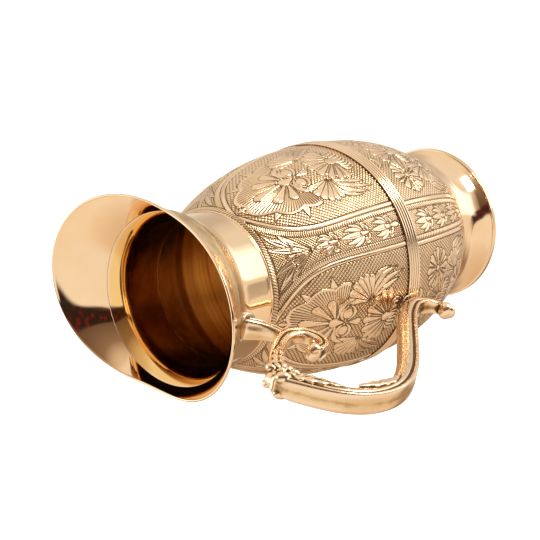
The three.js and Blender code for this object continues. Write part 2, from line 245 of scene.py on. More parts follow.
class Relief:
    """A height map in millimetres over drawing coordinates x, y, cut with grooves and raised strokes."""

    def __init__(self, x, y, height=0.0):
        self.x = x
        self.y = y
        self.height = np.zeros_like(x) + height

    def groove(self, amount, depth):
        self.height -= depth * amount

    def within(self, low, high):
        """Which points lie in a rectangle, so that each stroke works on few of them."""
        return np.nonzero((self.x > low[0]) & (self.x < high[0])
                          & (self.y > low[1]) & (self.y < high[1]))

    def lay(self, index, inside, crown, inset=0.0):
        """Raise a shape: inside is the distance in from its edge. The inset is a line inside it."""
        widest = max(float(inside.max()), 0.2)
        mask = smoothstep(-0.15, 0.2, inside)
        level = 0.09 + crown * np.sqrt(np.clip(inside / widest, 0, 1))
        if inset:
            level -= 0.24 * line_groove(inside - inset, 0.26) + 0.06 * smoothstep(0, 0.5, inside - inset)
        self.height[index] = self.height[index] * (1 - mask) + level * mask
        self.height[index] -= 0.34 * line_groove(inside + 0.12, 0.27)

    def stroke(self, path, radii, crown=0.08, inset=0.0):
        """A raised stroke along a path of points, as thick as its radii."""
        reach = radii.max() + 1
        index = self.within(path.min(axis=0) - reach, path.max(axis=0) + reach)
        x, y = self.x[index], self.y[index]
        if not len(x):
            return
        inside = np.full(x.shape, -9.0)
        for (px, py), radius in zip(path, radii):
            np.maximum(inside, radius - np.hypot(x - px, y - py), out=inside)
        self.lay(index, inside, crown, inset)

    def club(self, x, y, direction, start, end, wide, narrow=0.45, **look):
        """A petal that leaves (x, y) in a direction, in degrees from +y, and ends round."""
        t = np.linspace(0, 1, 24)
        turn = math.radians(direction)
        along = start + (end - start - wide) * t
        path = np.stack([x + along * math.sin(turn), y + along * math.cos(turn)], axis=1)
        self.stroke(path, narrow + (wide - narrow) * t ** 1.4, **look)

    def blade(self, x, y, side, start, bend, end, width, **look):
        """A pointed leaf along a bent line, its points told by how far out and up from (x, y)."""
        t = np.linspace(0, 1, 28)
        points = [(x + side * out, y + up) for out, up in (start, bend, end)]
        self.stroke(bezier(*points, len(t)), 0.2 + width * np.sin(np.pi * t ** 0.85), **look)

    def disc(self, x, y, radius, ring=0.0):
        index = self.within((x - radius - 1, y - radius - 1), (x + radius + 1, y + radius + 1))
        inside = radius - np.hypot(self.x[index] - x, self.y[index] - y)
        if len(inside):
            self.lay(index, inside, 0.1, ring)

    def drop(self, x, top, length, radii, power=1.0, **look):
        """A straight stroke downwards, from its top radius to its foot radius."""
        fall = np.linspace(0, 1, 20)
        path = np.stack([x + 0 * fall, top - length * fall], axis=1)
        self.stroke(path, radii[0] + (radii[1] - radii[0]) * fall ** power, **look)

    def pit(self, x, y, direction, distance, length):
        """A short punched dash, some distance from (x, y) in a direction."""
        turn = math.radians(direction)
        dx, dy = self.x - x, self.y - y
        along = dx * math.sin(turn) + dy * math.cos(turn) - distance
        across = dx * math.cos(turn) - dy * math.sin(turn)
        self.groove(np.exp(-(along / length) ** 2 - (across / 0.42) ** 2), 0.25)

    def fringe(self, x, y, start, half_width, rise, span, step, lobes):
        """A fan of fine radiating cuts with a scalloped plain hem."""
        reach = max(half_width, rise) + 3
        index = self.within((x - reach, y - reach), (x + reach, y + reach))
        dx, dy = self.x[index] - x, self.y[index] - y
        distance, angle = np.hypot(dx, dy), np.arctan2(dx, dy)
        edge = 1 / np.hypot(np.sin(angle) / half_width, np.cos(angle) / rise)
        edge *= 1 + 0.13 * np.abs(np.sin(lobes * angle))
        limit = (math.radians(span) / 2 - np.abs(angle)) * distance
        inside = np.minimum(np.minimum(edge - distance, limit), distance - start)
        self.lay(index, inside, 0.04)
        cuts = ruled(np.degrees(angle), step, 0.27 * step)
        self.height[index] -= 0.42 * cuts * smoothstep(1.3, 2.4, edge - distance) * (inside > 0)


def crosshatch(x, y, period):
    """Crossed cuts that leave a field of small raised diamonds."""
    first = ruled((x + y) / math.sqrt(2), period, 0.27)
    second = ruled((x - y) / math.sqrt(2), period, 0.27)
    return np.maximum(first, second)


def lotus(relief, x, y):
    """The large flower near the collar: club petals over a fringed hem with leaf tips."""
    for side in (-1, 1):
        for direction, reach in ((43, 32), (80, 30)):
            turn = math.radians(direction)
            base, tip = [(far * math.sin(turn), far * math.cos(turn)) for far in (reach - 11, reach)]
            relief.blade(x, y, side, base, base, tip, 2.3)
            relief.pit(x, y, side * direction, reach - 6, 1.2)
    for direction in (-8, 8, 0):
        relief.club(x, y, direction, 25, 33.5 - 0.2 * abs(direction), 1.5)
    relief.fringe(x, y, 6, 22, 28.5, 216, 4.2, 4.5)
    for direction, length, wide in ((0, 22.5, 2.7), (34, 19, 2.7), (69, 15.5, 2.7), (97, 12.5, 1.8)):
        for side in (-1, 1):
            relief.club(x, y, side * direction, 3, length, wide, 0.6, inset=1.0)
            relief.pit(x, y, side * direction, length - 2.6, 1.1)
    for side in (-1, 1):
        relief.blade(x, y, side, (1, -4), (13, 3), (14.5, -11), 1.5)
        relief.blade(x, y, side, (1, -5), (7, 0.5), (11, -7.5), 0.9)
        relief.blade(x, y, side, (1, -7), (7, -16), (11, -7), 0.9)
        relief.disc(x + side * 5.6, y - 6.6, 3.1, ring=1.1)
        relief.pit(x + side * 5.6, y - 6.6, 0, 0, 0.5)
    relief.drop(x, y - 8.5, 6.3, (0.3, 2.3), inset=0.9)
    relief.drop(x, y + 1.3, 6, (3.0, 0.4), 0.8, crown=0.2, inset=1.0)


def fan_flower(relief, x, y, wide):
    """The half flower near the waist: nine petals round a bud, over a fringe."""
    relief.fringe(x, y, 4, 14, 15.5, 200, 4.4, 4)
    for k in range(-4, 5):
        relief.club(x, y, 22 * k, 3.5, 19 - 0.09 * k * k * wide, wide, 0.35, inset=0.85)
    for side in (-1, 1):
        for k in range(4):
            relief.blade(x, y, side, (1.5 + 1.5 * k, -1), (2.5 + 2.8 * k, -4),
                         (2.2 + 2.3 * k, -10 + 0.5 * k), 0.75)
    relief.drop(x, y + 1.5, 10, (2.7, 0.3), 0.9, crown=0.2, inset=0.95)


def shell_fan(relief, x, y, side):
    """A quarter shell of petals that opens outwards."""
    for k in range(6):
        relief.club(x, y, side * (6 + 17 * k), 1.5, 17.5 - 0.12 * k * k, 2.3, 0.35, inset=1.0)


def plume(relief, x, y, side):
    """Long leaves that hang in a curl below a shell fan."""
    tips = ((15.5, -14, 1.5), (14.5, -19.5, 1.45), (12, -25.5, 1.35), (8, -21, 1.15))
    for k, (out, down, width) in enumerate(tips):
        bend = (out - 1 - 0.6 * k, 2 - 3.5 * k)
        relief.blade(x, y, side, (0.5, -0.4 * k), bend, (out, down), width, inset=0.9 if k < 3 else 0)


def rosette(relief, x, y, size):
    """An eight-petalled flower with a leaf between each pair of petals."""
    for k in range(8):
        relief.club(x, y, 45 * k + 22.5, 0.45 * size, 0.95 * size, 0.09 * size, 0.3)
        relief.club(x, y, 45 * k, 0.15 * size, size, 0.17 * size, 0.3, inset=0.8)
    relief.disc(x, y, 0.13 * size)


def palmette(relief, x, y, height):
    """A small tulip of five petals on a stalk, with a curl at each side of its foot."""
    for side in (-1, 1):
        relief.disc(x + side * 4.4, y - 1.0, 1.9, ring=0.85)
        relief.blade(x, y, side, (0.3, -3.4), (3.4, -3.6), (4.6, -0.8), 0.7)
        relief.blade(x, y, side, (0.8, 0.6), (5.4, 0.2 * height), (6.3, 0.62 * height), 1.05)
        relief.blade(x, y, side, (0.4, 0.8), (4.6, 0.42 * height), (3.6, 0.88 * height), 1.15)
    relief.blade(x, y, 1, (0, 0), (0, 0.5 * height), (0, 1.1 * height), 1.5, inset=0.8)
    relief.club(x, y + 1.4, 180, 0, 5.2, 0.7, 1.3)


def spandrel(relief, x, y):
    """The spreading leaves where a strip widens between two arches."""
    for side in (-1, 1):
        for out, up, width in ((24, 21, 2.0), (19, 14, 1.7), (13, 23, 1.7), (9, 10, 1.5)):
            relief.blade(x, y, side, (0.8, 0), (0.35 * out, 0.75 * up), (out, up), width, inset=0.9)
    for direction in (-26, 26, 0):
        relief.club(x, y + 1, direction, 0.5, 13 - 0.1 * abs(direction), 1.7, 0.5, inset=0.8)


def cut_band(relief, value, low, high, cuts, depth):
    """A plain, raised band where a value lies between two others, with cuts across it."""
    soft = 0.15
    zone = smoothstep(low - soft, low + soft, value) * (1 - smoothstep(high - soft, high + soft, value))
    relief.height = relief.height * (1 - zone) + 0.08 * zone
    relief.groove(cuts * zone, depth)


def feather_border(relief, distance, along, low, high):
    """Short, bent cuts in a band beside a rib."""
    crescent = 0.5 * distance + 0.3 * (distance - (low + high) / 2) ** 2
    cut_band(relief, distance, low, high, ruled(along + crescent, 1.85, 0.4), 0.42)
    relief.groove(line_groove(distance - high - 0.15, 0.24), 0.22)


def rib(relief, distance):
    """A smooth raised bar with a fine line at each side."""
    bar = 1 - smoothstep(0.8, 1.3, np.abs(distance))
    relief.height = relief.height * (1 - bar) + (0.22 + 0.1 * np.cos(np.clip(distance, -1.2, 1.2))) * bar
    relief.groove(line_groove(np.abs(distance) - 1.45, 0.27), 0.3)


def distance_to(level, dx, dy):
    """Signed distance in millimetres to where a function crosses zero, from its own slope."""
    slope_y, slope_x = np.gradient(level)
    slope = np.hypot(slope_x / dx, slope_y / dy)
    return level / np.maximum(slope, 1e-6)


def hand_wobble(azimuth, z, amount):
    """A slow drift, so that no repeat of the ornament is quite like the next."""
    return amount * (np.sin(3 * azimuth + 55 * z + 0.7) + 0.6 * np.sin(7 * azimuth - 90 * z + 2.1)
                     + 0.4 * np.sin(13 * azimuth + 160 * z))


def from_centre(azimuth, centre):
    """Angle from the nearest of the evenly spaced centres of the panels or strips."""
    return (azimuth - centre + PANEL_STEP / 2) % PANEL_STEP - PANEL_STEP / 2


class Layout:
    """Where each point of a shell lies, on the jug and on the drawings of its panels and strips."""

    def __init__(self, z_rows, turn):
        radius = body_radius(z_rows)
        travelled = np.concatenate([[0], np.cumsum(np.hypot(np.diff(radius), np.diff(z_rows)))])
        self.azimuth, self.z = np.meshgrid(np.arange(COLUMNS) * 2 * np.pi / COLUMNS, z_rows)
        self.along = travelled[:, None] / MM + 0 * self.z
        self.radius = radius[:, None] / MM + 0 * self.z
        self.drift = hand_wobble(self.azimuth, self.z, 0.4)
        self.from_strip = from_centre(self.azimuth, STRIP_AZIMUTH + turn)
        self.from_panel = from_centre(self.azimuth, STRIP_AZIMUTH + turn + PANEL_STEP / 2)

    def panel(self, period):
        """The field of a panel, crosshatched."""
        panel = Relief(self.from_panel * DRAWING_RADIUS + self.drift, self.z / MM + 0.6 * self.drift)
        panel.groove(crosshatch(self.from_panel * self.radius + self.drift, self.along, period), 0.27)
        return panel

    def strip(self):
        """The field of a strip between two panels, crosshatched more finely."""
        strip = Relief(self.from_strip * DRAWING_RADIUS + 0.6 * self.drift, self.z / MM - 0.4 * self.drift)
        strip.groove(crosshatch(strip.x, 1.3 * strip.y, 1.5), 0.26)
        return strip

    def depth_left(self):
        """The share of the relief that is kept, least in the middle of the side with the painted sheen."""
        return 1 - SHEEN_SIDE_FLATTENING * smoothstep(0.6, 0.9, np.cos(self.azimuth - SHEEN_SIDE_AZIMUTH))


def joined_at_ribs(panel, strip, edge):
    """The panel's work inside its edge, the strip's outside it."""
    in_panel = smoothstep(-0.2, 0.2, -edge)
    return Relief(strip.x, strip.y, panel.height * in_panel + strip.height * (1 - in_panel))


def upper_relief(z_rows):
    layout = Layout(z_rows, 0)
    # each panel ends in an arch, whose rib runs where the level is zero
    arch = np.clip((layout.z - ARCH_SPRING_Z) / (ARCH_TOP_Z - ARCH_SPRING_Z), 0, None)
    level = (np.abs(layout.from_panel) / PANEL_HALF) ** 1.45 + arch ** 4 - 1
    step_y = np.gradient(layout.along[:, 0])[:, None]
    edge = distance_to(level, layout.radius * 2 * np.pi / COLUMNS, step_y)

    panel = layout.panel(1.75)
    for side in (-1, 1):
        plume(panel, side * 12.5, 146.5, side)
        shell_fan(panel, side * 11.5, 147.5, side)
    fan_flower(panel, 0, 131.5, 2.0)
    lotus(panel, 0, 169.5)

    strip = layout.strip()
    spandrel(strip, 0, 183)
    for foot, height in ((169.5, 10), (147, 15.5), (127.5, 12.5)):
        palmette(strip, 0, foot, height)
    strip.blade(0, 118, 1, (0, 0), (0, 3), (0, 8), 1.2)

    whole = joined_at_ribs(panel, strip, edge)
    feather_border(whole, edge, layout.along - np.abs(layout.from_panel) * layout.radius, 1.6, 4.6)
    rib(whole, edge)
    collar = (COLLAR_Z - layout.z) / MM
    ring = 1 - smoothstep(0.9, 1.2, collar)
    whole.height = whole.height * (1 - ring) + 0.1 * ring
    whole.groove(line_groove(collar - 1.4, 0.3), 0.25)
    slanting = ruled(layout.from_strip * layout.radius + 0.8 * collar, 1.65, 0.42)
    cut_band(whole, collar, 1.45, 3.75, slanting, 0.338)
    whole.groove(line_groove(collar - 4, 0.25), 0.26)
    return layout.depth_left() * whole.height


def lower_relief(z_rows):
    layout = Layout(z_rows, LOWER_TURN)
    edge = (np.abs(layout.from_panel) - PANEL_HALF) * layout.radius

    panel = layout.panel(1.7)
    fan_flower(panel, 0, 77, 2.2)
    for side in (-1, 1):
        plume(panel, side * 17, 66, side)
        shell_fan(panel, side * 12, 60, side)
        rosette(panel, side * 20, 86, 12)
        panel.blade(0, 104, side, (4, 0), (8, -6), (12, 0), 1.4)
    fan_flower(panel, 0, 47, 2.2)

    strip = layout.strip()
    for foot in (35, 53, 71, 89):
        palmette(strip, 0, foot, 12.5)

    whole = joined_at_ribs(panel, strip, edge)
    feather_border(whole, edge, layout.along, 1.6, 4.4)
    rib(whole, edge)
    return LOWER_DEPTH * layout.depth_left() * whole.height


def shell_normals(z_rows):
    """Outward direction in the plane of radius and height, for each row."""
    slope = np.gradient(body_radius(z_rows), z_rows)
    length = np.hypot(1, slope)
    return 1 / length, -slope / length


def engraved_rows(z_rows, relief):
    out_radius, out_height = shell_normals(z_rows)
    lift = relief * MM
    radius = body_radius(z_rows)[:, None] + lift * out_radius[:, None]
    height = z_rows[:, None] + lift * out_height[:, None]
    return around(radius, height, COLUMNS)


def engraved_shell(name, relief, outer, inner_radius, inner_height):
    """A shell with its cuts marked, 1 on bare metal and 0 in the deepest groove, for the patina and
    painted shade in them.
    """
    rows = np.concatenate([outer, around(inner_radius, inner_height, COLUMNS)])
    piece = turned(name, rows, closed=True)
    cut = np.ones(rows.shape[:2])
    cut[:len(relief)] = np.clip((relief + 0.3) / 0.32, 0, 1)
    store(piece, "cut", cut)
    store_inside(piece, len(rows), COLUMNS, len(relief))
    return piece


def inner_rows(z_rows):
    """The sheet's inside, square to the outside at the same heights."""
    out_radius, out_height = shell_normals(z_rows)
    radius = body_radius(z_rows) - WALL * out_radius
    height = z_rows - WALL * out_height
    return radius, height


def upper_shell():
    z_rows = rows_between(UPPER_LOW[2], COLLAR_Z, ROW_STEP)
    relief = upper_relief(z_rows)
    outer = engraved_rows(z_rows, relief)
    radius, height = inner_rows(np.linspace(COLLAR_Z, UPPER_LOW[2], 48))
    height[0], height[-1] = COLLAR_Z, UPPER_LOW[2]
    return engraved_shell("engraved_upper_shell", relief, outer, radius, height)


def lower_shell():
    z_rows = rows_between(FOOT_TOP_Z, LOWER_HIGH[2], ROW_STEP)
    relief = lower_relief(z_rows)
    outer = engraved_rows(z_rows, relief)
    bowl = np.array([[36.2, 21.0], [26.0, 19.0], [13.0, 19.0], [0.4, 19.0]]) * MM
    start = [body_radius(FOOT_TOP_Z), FOOT_TOP_Z]
    bowl_outside = smooth_curve([start, *bowl], 24)[1:]
    bowl_inside = bowl_outside[::-1] + [0, WALL]
    radius, height = inner_rows(np.linspace(FOOT_TOP_Z + WALL, LOWER_HIGH[2], 48))
    height[-1] = LOWER_HIGH[2]
    radius = np.concatenate([bowl_outside[:, 0], bowl_inside[:-2, 0], radius])
    height = np.concatenate([bowl_outside[:, 1], bowl_inside[:-2, 1], height])
    return engraved_shell("engraved_lower_shell", relief[::-1], outer[::-1], radius, height)


# ---- plain turned pieces ----------------------------------------------------------------------

def outline_offset(outline, thickness):
    """An outline of [radius, height] rows moved inwards, square to itself."""
    run = np.gradient(outline[:, 0])
    rise = np.gradient(outline[:, 1])
    length = np.hypot(run, rise)
    return outline + thickness * np.stack([-rise / length, run / length], axis=-1)


def turned_outline(name, outline):
    return turned(name, around(outline[:, 0], outline[:, 1], SMOOTH_COLUMNS), closed=True)


def waist_band():
    """Five shallow ridges across a strip with rounded edges."""
    ridges = 5
    ridge_depth = 0.55 * MM
    edge_round = 0.7 * MM
    z = np.linspace(BAND_LOW[2], BAND_HIGH[2], 121)
    from_edge = np.minimum(z - z[0], z[-1] - z)
    share = (z - z[0]) / (z[-1] - z[0])
    wave = np.abs(np.sin(np.pi * ridges * share)) ** 0.7
    fall = np.clip(1 - from_edge / edge_round, 0, 1)
    radius = BAND_CREST - ridge_depth * (1 - wave) - 0.4 * edge_round * (1 - np.sqrt(1 - fall ** 2))
    inner = np.array([[UPPER_HIGH[0] + 0.35 * MM, z[-1]], [UPPER_HIGH[0] + 0.35 * MM, z[0]]])
    outline = np.concatenate([np.stack([radius, z], axis=-1), inner])
    piece = turned_outline("ridged_waist_band", outline)
    # the grooves between the ridges are marked for the dark colour of the cuts: patina and painted shade
    cut = np.ones((len(outline), SMOOTH_COLUMNS))
    cut[:len(wave)] = smoothstep(0.1, 0.7, wave)[:, None]
    store(piece, "cut", cut)
    return piece


def foot_ring():
    """A flared, polished ring with a step above the squared edge it stands on."""
    edge = 3.5 * MM
    corner = 0.6 * MM
    top_radius = body_radius(FOOT_TOP_Z) - 0.4 * MM
    flare = smooth_curve(np.array([
        [FOOT_RADIUS - 1.0 * MM, edge],
        [FOOT_RADIUS - 3.6 * MM, edge + 4.6 * MM],
        [FOOT_RADIUS - 6.0 * MM, edge + 12 * MM],
        [FOOT_RADIUS - 6.1 * MM, edge + 18 * MM],
        [top_radius - 0.6 * MM, FOOT_TOP_Z - 1.2 * MM],
    ]), 48)
    rounded = []
    for corner_z, start in ((corner, -90), (edge - corner - 0.1 * MM, 0)):
        for degrees in np.linspace(start, start + 90, 7):
            bend = math.radians(degrees)
            rounded.append([FOOT_RADIUS - corner + corner * math.cos(bend),
                            corner_z + corner * math.sin(bend)])
    inner_edge = FOOT_RADIUS - 2.4 * MM
    inside = outline_offset(flare, WALL)[::-1]
    inside[-1] = [inner_edge, edge]
    outline = np.concatenate([[[inner_edge, 0]], rounded, flare, inside])
    return turned_outline("polished_foot", outline)


def base_plate():
    """A turned disc with faint steps, closing the foot."""
    radius = PLATE_HIGH[0]
    low, high = PLATE_LOW[2], PLATE_HIGH[2]
    outline = np.array([
        [0.4 * MM, low], [radius * 0.45, low], [radius * 0.9, low], [radius * 0.985, low + 0.05 * MM],
        [radius, low + 0.25 * MM], [radius, high], [radius * 0.5, high], [0.4 * MM, high],
    ])
    return turned_outline("foot_plate", outline)


def neck():
    """The plain tube with its lip rolled outwards, as thick as the sheet."""
    foot = COLLAR_Z - 0.5 * MM
    tube = np.stack([np.full(16, NECK_RADIUS), np.linspace(foot, NECK_STRAIGHT_Z, 16)], axis=-1)
    tube[0, 0] += 0.25 * MM
    tube[1, 0] += 0.1 * MM
    lip = bezier([NECK_RADIUS, NECK_STRAIGHT_Z], [NECK_RADIUS, NECK_STRAIGHT_Z + 9 * MM],
                 [LIP_RADIUS, LIP_Z - 0.1 * MM], 40)
    outside = np.concatenate([tube, lip[1:]])
    inside = outline_offset(outside, WALL)[::-1]
    piece = turned_outline("polished_neck", np.concatenate([outside, inside]))
    store_inside(piece, 2 * len(outside), SMOOTH_COLUMNS, len(outside))
    return piece


# ---- mouth ------------------------------------------------------------------------------------

def round_the_mouth(lip, side, back, angle):
    """A measure that runs smoothly from the pouring lip over the sides to the handle."""
    mean = (lip + back) / 4 + side / 2
    once = (lip - back) / 2
    twice = (lip + back) / 4 - side / 2
    return mean + once * np.cos(angle) + twice * np.cos(2 * angle)


def mouth():
    """A funnel, round at the neck and drawn out to a pouring lip, with a thickened rim."""
    angle = np.arange(SMOOTH_COLUMNS) * 2 * np.pi / SMOOTH_COLUMNS
    from_lip = angle - np.pi
    rim_radius = round_the_mouth(-MOUTH_LOW[0], MOUTH_SIDE_RADIUS, MOUTH_HIGH[0], from_lip)
    rim_height = round_the_mouth(RIM_LIP_Z, RIM_SIDE_Z, RIM_BACK_Z, from_lip)
    rows = 44
    thickness = 1.1 * MM
    bead = 0.8 * MM
    section = []
    for radius, height in zip(rim_radius, rim_height):
        run, rise = radius - LIP_RADIUS, height - LIP_Z
        bend = [LIP_RADIUS + 0.35 * run, LIP_Z + 0.65 * rise]
        outside = bezier([LIP_RADIUS, LIP_Z], bend, [radius, height], rows)
        inside = outline_offset(outside, thickness)
        inside[0] = [LIP_RADIUS - 1.5 * MM, LIP_Z]
        end = (outside[-1] + inside[-1]) / 2
        heading = outside[-1] - outside[-2]
        turns = np.linspace(0, np.pi, 9)
        # the rim's bead runs from the outside face over the edge to the inside face
        side = (outside[-1] - inside[-1]) / np.linalg.norm(outside[-1] - inside[-1])
        ahead = heading / np.linalg.norm(heading)
        edge = end + bead * (np.cos(turns)[:, None] * side + np.sin(turns)[:, None] * ahead)
        edge -= 0.5 * bead * ahead
        section.append(np.concatenate([outside[:-1], edge, inside[:-1][::-1]]))
    section = np.array(section)
    points = np.stack([
        section[..., 0] * np.cos(angle)[:, None],
        section[..., 0] * np.sin(angle)[:, None],
        section[..., 1],
    ], axis=-1)
    piece = turned("flared_mouth", points.transpose(1, 0, 2), closed=True)
    store_inside(piece, section.shape[1], SMOOTH_COLUMNS, rows + 3)
    return piece


# ---- handle -----------------------------------------------------------------------------------

GRIP = np.array([  # distance from the axis, height, half width across, half thickness: millimetres
    [83.5, 102.6, 3.6, 3.2],
    [77.5, 104.4, 3.7, 3.2],
    [72.6, 110.2, 4.5, 3.9],
    [71.4, 118.5, 5.1, 4.9],
    [77.0, 131.0, 5.3, 5.3],
    [85.0, 142.6, 5.4, 5.5],
    [96.2, 157.0, 5.6, 5.6],
    [107.2, 171.3, 5.7, 5.7],
    [117.8, 186.1, 5.9, 5.7],
    [125.6, 201.0, 6.0, 5.7],
    [128.8, 216.0, 6.1, 5.7],
    [126.6, 230.5, 6.2, 5.7],
    [119.8, 241.4, 6.2, 5.7],
    [110.2, 249.0, 6.1, 5.7],
    [98.5, 255.6, 5.9, 5.5],
    [91.0, 259.2, 5.0, 4.5],
])

SCROLL = np.array([
    [93.0, 259.0, 5.0, 4.0],
    [83.6, 251.6, 5.2, 4.5],
    [73.6, 239.4, 4.7, 4.0],
    [65.4, 227.0, 4.4, 3.6],
    [61.6, 216.0, 4.2, 3.5],
    [64.2, 207.4, 4.1, 3.3],
    [71.6, 204.6, 4.1, 3.2],
    [78.2, 208.0, 4.2, 3.1],
    [80.6, 214.6, 4.4, 3.1],
])

ARM = np.array([
    [42.9, 228.6, 6.4, 4.2],
    [48.6, 222.8, 5.4, 3.7],
    [55.6, 219.0, 4.4, 3.2],
    [62.4, 217.8, 3.8, 2.8],
])

# half of each bar's section, as shares of its half width and half thickness
GRIP_SECTION = [(0, 0.96), (0.66, 0.97), (0.94, 0.86), (0.97, 0.66), (0.76, 0.44), (0.94, 0.16),
                (0.8, -0.52), (0.47, -0.88), (0, -1)]
SCROLL_SECTION = [(0, 0.5), (0.36, 0.6), (0.68, 0.98), (0.94, 0.86), (0.95, 0.4), (0.78, 0.08),
                  (0.94, -0.3), (0.66, -0.84), (0, -1)]
ARM_SECTION = [(0, 0.97), (0.5, 0.93), (0.86, 0.66), (0.9, 0.36), (0.7, 0.08), (0.95, -0.24),
               (0.8, -0.74), (0, -1)]


def bar_section(half, turns):
    """Closed outline of a bar, across its plane and outward in it, mirrored from one half."""
    half = np.array(half, dtype=float)
    other = half[-2:0:-1] * [-1, 1]
    around_it = np.concatenate([half, other, half[:1]])
    curve = smooth_curve(around_it, turns + 1)[:-1]
    return curve[:, 0], curve[:, 1]


def bar(points, section, samples=220, turns=72):
    """A bar along a curve in the handle's plane, closed by a rounded end at each end."""
    curve = smooth_curve(points, samples) * MM
    centre, half = curve[:, :2], curve[:, 2:]
    heading = np.gradient(centre, axis=0)
    heading /= np.linalg.norm(heading, axis=1)[:, None]
    outward = np.stack([heading[:, 1], -heading[:, 0]], axis=-1)
    unit_across, unit_outward = bar_section(section, turns)

    def cap(end, sign):
        return [(
            centre[end] + sign * half[end, 1] * 0.8 * math.sin(bend) * heading[end],
            half[end] * math.cos(bend),
            outward[end],
        ) for bend in np.linspace(math.pi / 2 - 0.12, 0.2, 7)]

    grid = []
    for middle, size, side in cap(0, -1) + list(zip(centre, half, outward)) + cap(-1, 1)[::-1]:
        x = middle[0] + size[1] * unit_outward * side[0]
        z = middle[1] + size[1] * unit_outward * side[1]
        grid.append(np.stack([x, size[0] * unit_across, z], axis=-1))
    return turned("bar", np.array(grid))


def ball(x, y, z, half_x, half_y, half_z, tilt=0.0):
    """A rounded lump, sizes in millimetres, tilted in the handle's plane by degrees."""
    bend = np.linspace(-np.pi / 2 + 0.06, np.pi / 2 - 0.06, 20)
    angle = np.arange(32) * 2 * np.pi / 32
    rows = np.stack([
        np.cos(bend)[:, None] * np.cos(angle) * half_x,
        np.cos(bend)[:, None] * np.sin(angle) * half_y,
        np.sin(bend)[:, None] * half_z + 0 * angle,
    ], axis=-1)
    turn = np.array(Matrix.Rotation(math.radians(tilt), 3, "Y"))
    return turned("ball", (rows @ turn.T + [x, y, z]) * MM)


def leaf(path, half_width, lift):
    """A pointed, ribbed leaf laid along a path of [x, y, z] millimetres, with a groove down it."""
    count, turns = 40, 16
    spine = smooth_curve(np.asarray(path, dtype=float), count)
    heading = np.gradient(spine, axis=0)
    heading /= np.linalg.norm(heading, axis=1)[:, None]
    across = np.cross(heading, np.array([0.0, 1.0, 0.0]))
    across /= np.maximum(np.linalg.norm(across, axis=1), 1e-6)[:, None]
    up = np.cross(across, heading)
    t = np.linspace(0, 1, count)
    width = half_width * np.sin(np.pi * np.clip(t, 0.03, 0.97) ** 0.7) ** 0.9 + 0.4
    width *= 1 + 0.14 * np.sin(2 * np.pi * 5 * t)
    angle = np.arange(turns) * 2 * np.pi / turns
    width = width[:, None]
    swell = np.sin(angle) * lift * (0.4 + 0.6 * width / half_width)
    swell = swell - 0.35 * lift * np.exp(-(np.cos(angle) / 0.3) ** 2) * np.sign(np.sin(angle))
    sideways = (np.cos(angle) * width)[..., None] * across[:, None]
    return turned("leaf", (spine[:, None] + sideways + swell[..., None] * up[:, None]) * MM)


def joined(pieces, name):
    """One object from several."""
    for other in bpy.context.view_layer.objects:
        other.select_set(False)
    for piece in pieces:
        piece.select_set(True)
    bpy.context.view_layer.objects.active = pieces[0]
    bpy.ops.object.join()
    pieces[0].name = name
    pieces[0].data.name = name
    return pieces[0]


def fused(piece, voxel, smoothing):
    """Melts overlapping parts into one skin, as in a casting."""
    remesh = piece.modifiers.new("fuse", "REMESH")
    remesh.mode = "VOXEL"
    remesh.voxel_size = voxel
    remesh.use_smooth_shade = True
    if smoothing:
        smooth = piece.modifiers.new("soften", "SMOOTH")
        smooth.factor = 0.5
        smooth.iterations = smoothing
    bpy.context.view_layer.update()
    evaluated = piece.evaluated_get(bpy.context.evaluated_depsgraph_get())
    mesh = bpy.data.meshes.new_from_object(evaluated)
    piece.modifiers.clear()
    piece.data = mesh
    mesh.name = piece.name
    mesh.polygons.foreach_set("use_smooth", np.ones(len(mesh.polygons), dtype=bool))


def mesh_numbers(items, name, columns, kind=np.float64):
    """The numbers of a mesh's points or edges, a row for each."""
    values = np.empty(len(items) * columns, dtype=kind)
    items.foreach_get(name, values)
    return values.reshape(-1, columns)


def store_hollows(piece, rounds, depth):
    """Marks how deep each point lies in a hollow: 0.5 on flats, 1 in hollows, 0 on sharp crests."""
    mesh = piece.data
    count = len(mesh.vertices)
    points = mesh_numbers(mesh.vertices, "co", 3)
    normals = mesh_numbers(mesh.vertex_normals, "vector", 3)
    ends = mesh_numbers(mesh.edges, "vertices", 2, np.int32)
    first, second = ends[:, 0], ends[:, 1]
    neighbours = np.maximum(np.bincount(ends.ravel(), minlength=count), 1)[:, None]
    eased = points.copy()
    for _ in range(rounds):
        total = np.stack([
            np.bincount(first, weights=eased[second, axis], minlength=count)
            + np.bincount(second, weights=eased[first, axis], minlength=count)
            for axis in range(3)
        ], axis=-1)
        eased = 0.5 * (eased + total / neighbours)
    below = ((eased - points) * normals).sum(axis=1)
    store(piece, "hollow", np.clip(0.5 + 0.5 * below / depth, 0, 1))


